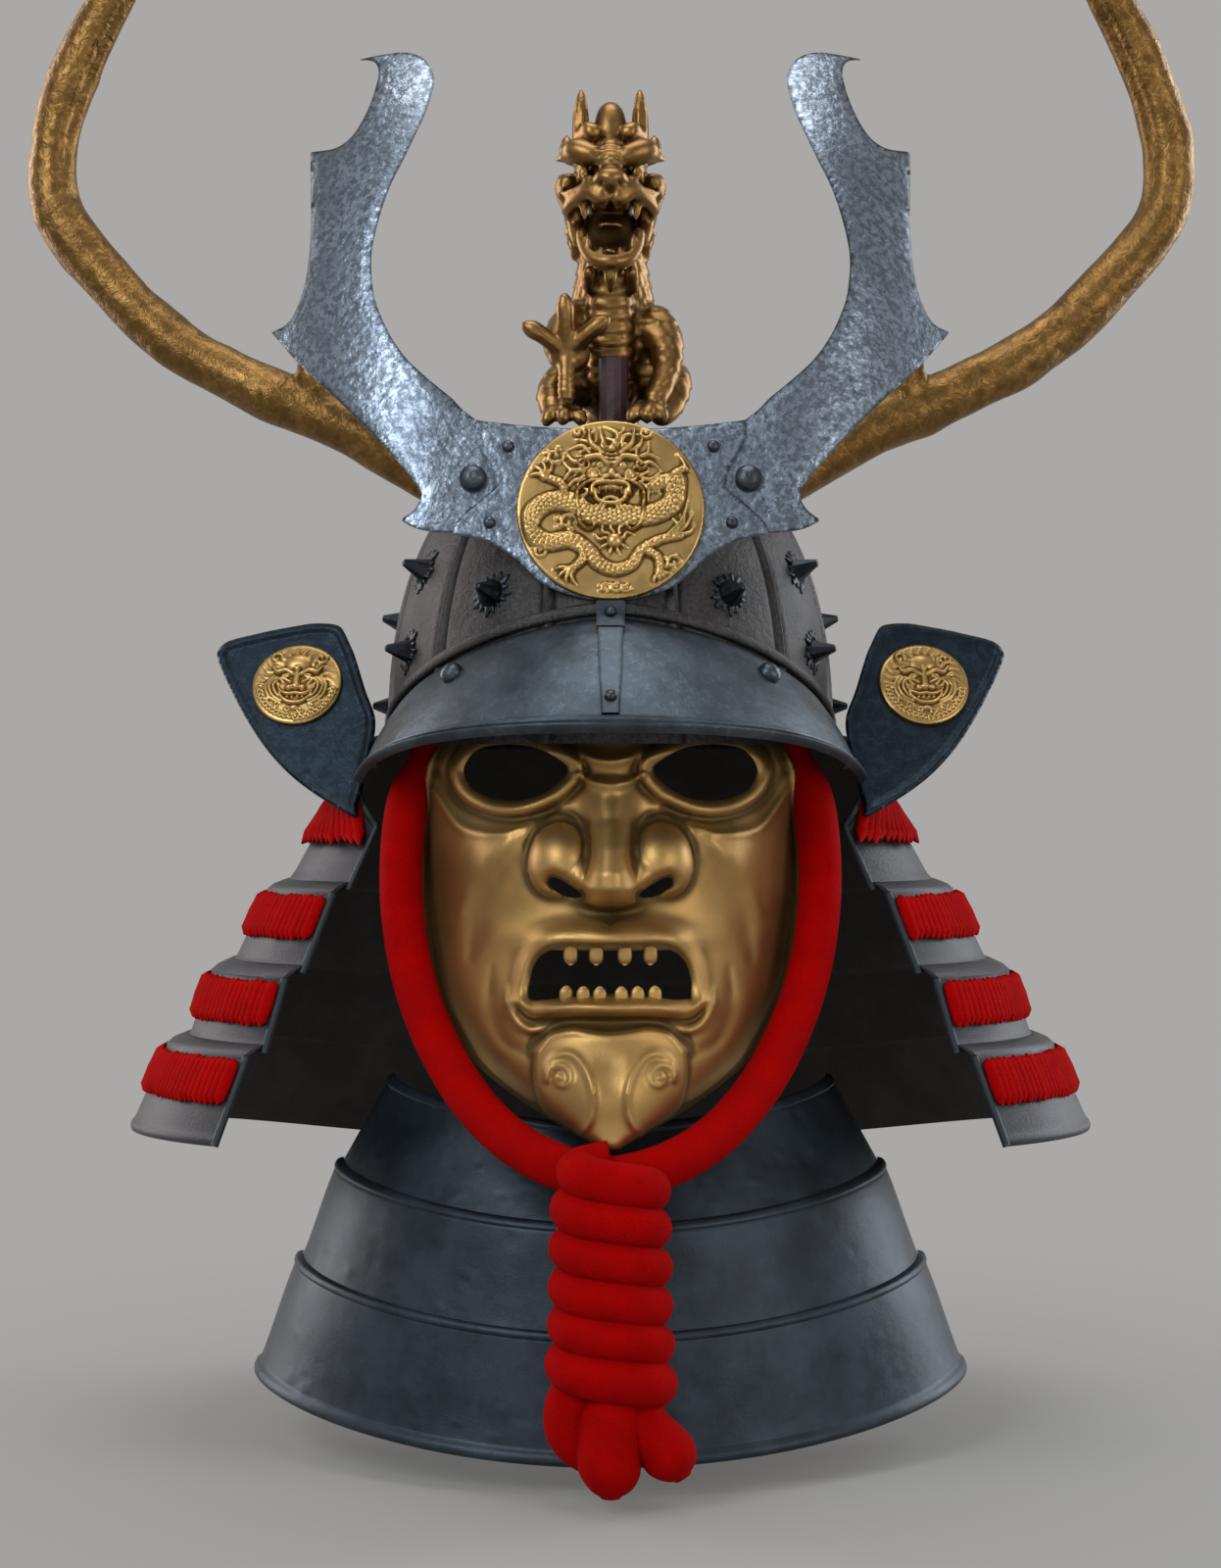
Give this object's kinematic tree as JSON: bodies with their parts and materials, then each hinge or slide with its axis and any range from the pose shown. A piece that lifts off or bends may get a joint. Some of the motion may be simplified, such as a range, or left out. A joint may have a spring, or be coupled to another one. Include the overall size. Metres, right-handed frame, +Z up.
{
  "type": "samurai helmet",
  "caption": "Samurai helmet with ribbed spiked bowl, horned crest, antlers, dragon, war mask, laced neck guard, throat guard and red chin cord.",
  "frame": {"origin": "inside of the crown, where the bowl rests on the head", "axes": "+Z up, the face looks along -Y, +X to the viewer's right of the front"},
  "size_m": [0.604, 0.4418, 0.8136],
  "materials": {
    "bowl_iron": "dark hammered and fine grained",
    "dark_iron": "dark gunmetal, satin",
    "visor_steel": "dark blue-grey, satin",
    "crest_steel": "bright hammered with dark mottling",
    "gilt_brass": "old gilt, darkened in the hollows",
    "dragon_bronze": "aged bronze, satin",
    "antler_bronze": "aged bronze, rough",
    "post_paint": "dark purple-brown, satin",
    "navy_steel": "dark navy, leathery grain",
    "lame_steel": "dull grey, darker inside",
    "red_lacing": "matte red braid",
    "mask_bronze": "bronze-gold, satin",
    "throat_steel": "dark blue-grey, small dents",
    "red_cord": "matte red twisted cord"
  },
  "bodies": {
    "root": {"helmet_bowl": "bowl_iron", "spike_left_1": "dark_iron", "spike_left_2": "dark_iron", "spike_left_3": "dark_iron", "spike_left_4": "dark_iron", "spike_left_5": "dark_iron", "spike_left_6": "dark_iron", "spike_left_7": "dark_iron", "spike_right_1": "dark_iron", "spike_right_2": "dark_iron", "spike_right_3": "dark_iron", "spike_right_4": "dark_iron", "spike_right_5": "dark_iron", "spike_right_6": "dark_iron", "spike_right_7": "dark_iron", "visor_rivet_left": "dark_iron", "visor_rivet_right": "dark_iron", "strap_rivet_upper": "dark_iron", "strap_rivet_lower": "dark_iron", "crest_rivet_large_left": "dark_iron", "crest_rivet_upper_left": "dark_iron", "crest_rivet_lower_left": "dark_iron", "crest_rivet_large_right": "dark_iron", "crest_rivet_upper_right": "dark_iron", "crest_rivet_lower_right": "dark_iron", "visor": "visor_steel", "brow_band": "visor_steel", "visor_strap": "visor_steel", "crest_stem": "visor_steel", "crest_plate": "crest_steel", "crest_horn_left": "crest_steel", "crest_horn_right": "crest_steel", "crest_medallion": "gilt_brass", "turnback_medallion_left": "gilt_brass", "turnback_medallion_right": "gilt_brass", "dragon": "dragon_bronze", "antler_left": "antler_bronze", "antler_right": "antler_bronze", "dragon_post": "post_paint", "turnback_left": "navy_steel", "turnback_right": "navy_steel", "neck_lame_1": "lame_steel", "neck_lame_2": "lame_steel", "neck_lame_3": "lame_steel", "neck_lame_4": "lame_steel", "lacing_band_1": "red_lacing", "lacing_band_2": "red_lacing", "lacing_band_3": "red_lacing", "lacing_band_4": "red_lacing", "mask": "mask_bronze", "upper_teeth": "mask_bronze", "lower_teeth": "mask_bronze", "throat_lame_1": "throat_steel", "throat_lame_2": "throat_steel", "throat_lame_3": "throat_steel", "throat_hanger": "throat_steel", "chin_cord": "red_cord", "cord_knot": "red_cord"}
  },
  "joints": []
}
